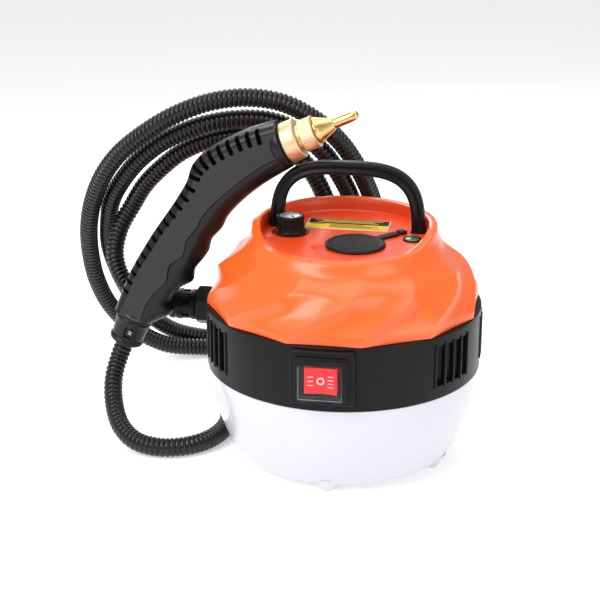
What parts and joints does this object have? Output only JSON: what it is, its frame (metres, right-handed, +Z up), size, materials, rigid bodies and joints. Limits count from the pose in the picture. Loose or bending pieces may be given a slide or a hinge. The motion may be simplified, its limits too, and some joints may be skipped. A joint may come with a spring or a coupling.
{
  "type": "wallpaper steamer",
  "caption": "Round electric steam boiler with a bail handle, corrugated steam hose and brass-nosed steam gun for stripping wallpaper and cleaning.",
  "frame": {"origin": "middle of the footprint of the boiler and gun together, hose left out, at floor level", "axes": "+Z up; -Y is the front with the switch; +X to the right seen from the front, with the gun on the left"},
  "size_m": [0.3626, 0.3384, 0.2886],
  "materials": {
    "orange": "satin",
    "white": "gloss",
    "black": "satin",
    "rubber": "matt",
    "hose": "satin",
    "gun": "satin",
    "red": "gloss",
    "clear": "clear",
    "green": "gloss",
    "label": "satin",
    "brass": "machined",
    "steel": "satin",
    "aluminium": "cast",
    "board": "matt",
    "silicone": "matt",
    "tank": "matt"
  },
  "bodies": {
    "boiler": {"tub": "white", "mid_band": "black", "top_cover": "orange", "handle": "black", "warning_label": "label", "regulator_body": "black", "lid_anchor": "rubber", "filler_pipe": "black", "filler_seal": "silicone", "indicator_bezel": "black", "indicator_lens": "green", "switch_frame": "black", "switch_cover": "clear", "water_tank": "tank", "base_screw_1": "steel", "base_screw_2": "steel", "base_screw_3": "steel", "heater_block": "aluminium", "heater_stand": "black", "heater_terminal_left": "steel", "heater_terminal_right": "steel", "thermostat": "steel", "thermal_fuse": "silicone", "pump_body": "steel", "pump_spring": "steel", "pump_valve": "brass", "pump_mount": "rubber", "suction_tube": "silicone", "delivery_tube": "silicone", "steam_pipe": "brass", "board_stand": "black", "control_board": "board", "board_capacitor": "black", "board_relay": "black", "mains_gland": "rubber", "outlet_nut": "black", "outlet_coupling": "black", "hose": "hose", "gun_shell_front": "gun", "gun_shell_rear": "gun", "gun_screw_1": "steel", "gun_screw_2": "steel", "gun_screw_3": "steel", "gun_screw_4": "steel", "gun_pipe": "brass", "gun_tail_collar": "black", "hose_clip": "steel", "gun_collar": "brass"},
    "knob": {"knob": "black", "knob_insert": "steel", "regulator_shaft": "steel"},
    "lid": {"filler_lid": "rubber"},
    "rocker": {"switch_rocker": "red"},
    "plunger": {"pump_plunger": "brass"},
    "nozzle": {"nozzle_nut": "brass", "nozzle_cone": "brass", "nozzle_tip": "brass"}
  },
  "joints": [
    {"name": "knob_turn", "type": "hinge", "parent": "boiler", "child": "knob", "pos_m": [0.002, -0.00055, 0.186], "axis": [0, 0, 1], "range_deg": [0, 270]},
    {"name": "lid_swing", "type": "hinge", "parent": "boiler", "child": "lid", "pos_m": [0.087, 0.00639, 0.1875], "axis": [-0.7514, 0.6598, 0], "range_deg": [0, 60]},
    {"name": "rocker_tilt", "type": "hinge", "parent": "boiler", "child": "rocker", "pos_m": [0.0454, -0.11075, 0.108], "axis": [0, 0, 1], "range_deg": [-8, 8]},
    {"name": "plunger_stroke", "type": "slide", "parent": "boiler", "child": "plunger", "axis": [0, 0, 1], "range_m": [0, 0.003], "stiffness_N_per_m": 200, "springref_m": -0.003, "deforming": ["pump_spring"]},
    {"name": "nozzle_turn", "type": "hinge", "parent": "boiler", "child": "nozzle", "pos_m": [-0.0056, 0.01725, 0.254], "axis": [0.91, 0, 0.4147], "range_deg": [0, 360]}
  ]
}
